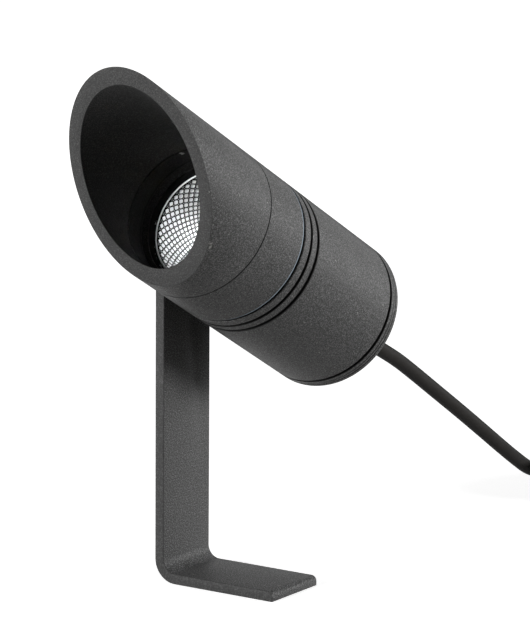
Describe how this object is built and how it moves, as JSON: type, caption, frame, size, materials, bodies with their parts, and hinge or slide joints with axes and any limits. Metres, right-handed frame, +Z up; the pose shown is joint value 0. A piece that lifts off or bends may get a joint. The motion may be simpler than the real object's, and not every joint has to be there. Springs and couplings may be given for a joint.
{
  "type": "outdoor display light",
  "caption": "Adjustable outdoor spotlight with a slant-cut glare shield, a side-clamped L bracket with a flat foot and a rubber supply flex with bare ends.",
  "frame": {"origin": "on the underside of the foot, straight below the tilt pivot, where the lamp's axis plane crosses it", "axes": "+Z up from the foot; the beam points to -Y and up; the bracket's upright stands at -X and its foot runs towards +X"},
  "size_m": [0.1216, 0.3591, 0.2066],
  "materials": {
    "powder_coat_steel": "fine-textured dark grey powder coat on steel bar",
    "powder_coat": "fine-textured dark grey powder coat on turned aluminium",
    "dark_metal": "black plated brass",
    "steel": "stainless steel",
    "bronze": "sintered bronze",
    "nylon": "white nylon",
    "seal_rubber": "black silicone rubber",
    "cable_rubber": "black rubber sheath",
    "clear_glass": "clear toughened glass",
    "mirror_aluminium": "bright facetted aluminium",
    "bare_aluminium": "satin aluminium",
    "white_board": "white solder mask",
    "chip_ceramic": "white ceramic",
    "phosphor": "yellow phosphor gel",
    "thermal_silicone": "grey thermal pad",
    "board_green": "green solder mask",
    "ferrite": "black ferrite",
    "capacitor_sleeve": "dark blue sleeve",
    "terminal_plastic": "green plastic",
    "wire_insulation": "coloured wire insulation",
    "tinned_copper": "tinned copper",
    "tie_fabric": "black hook and loop tape"
  },
  "bodies": {
    "base": {"bracket": "powder_coat_steel", "pivot_bush": "bronze", "friction_washer": "nylon", "cord_run": "cable_rubber", "cord_coil": "cable_rubber", "cord_tail": "cable_rubber", "cord_cores": "wire_insulation", "core_ferrules": "tinned_copper", "coil_tie": "tie_fabric"},
    "head": {"housing": "powder_coat", "front_bezel": "powder_coat", "rear_cover": "powder_coat", "gland_body": "dark_metal", "gland_nut": "dark_metal", "pivot_bolt": "steel", "spring_washer": "steel", "flat_washer": "steel", "threaded_insert": "steel", "led_holder_screws": "steel", "carrier_screws": "steel", "cover_screws": "steel", "led_holder": "nylon", "driver_carrier": "nylon", "bezel_seal": "seal_rubber", "shield_oring": "seal_rubber", "lens_gasket": "seal_rubber", "cover_oring": "seal_rubber", "gland_gasket": "seal_rubber", "gland_seal": "seal_rubber", "strain_relief": "seal_rubber", "cord_inlet": "cable_rubber", "glass_lens": "clear_glass", "reflector": "mirror_aluminium", "reflector_sleeve": "bare_aluminium", "led_board": "white_board", "led_chip": "chip_ceramic", "led_phosphor": "phosphor", "thermal_pad": "thermal_silicone", "driver_board": "board_green", "driver_inductor": "ferrite", "driver_capacitors": "capacitor_sleeve", "driver_terminal": "terminal_plastic", "led_wires": "wire_insulation", "supply_wires": "wire_insulation"},
    "shield": {"glare_shield": "powder_coat"}
  },
  "joints": [
    {"name": "tilt", "type": "hinge", "parent": "base", "child": "head", "pos_m": [0, 0, 0.125], "axis": [-1, 0, 0], "range_deg": [-45, 45], "deforming": ["cord_run"]},
    {"name": "shield_turn", "type": "hinge", "parent": "head", "child": "shield", "pos_m": [0, 0, 0.125], "axis": [0, -0.8796, 0.4756], "continuous": true}
  ]
}
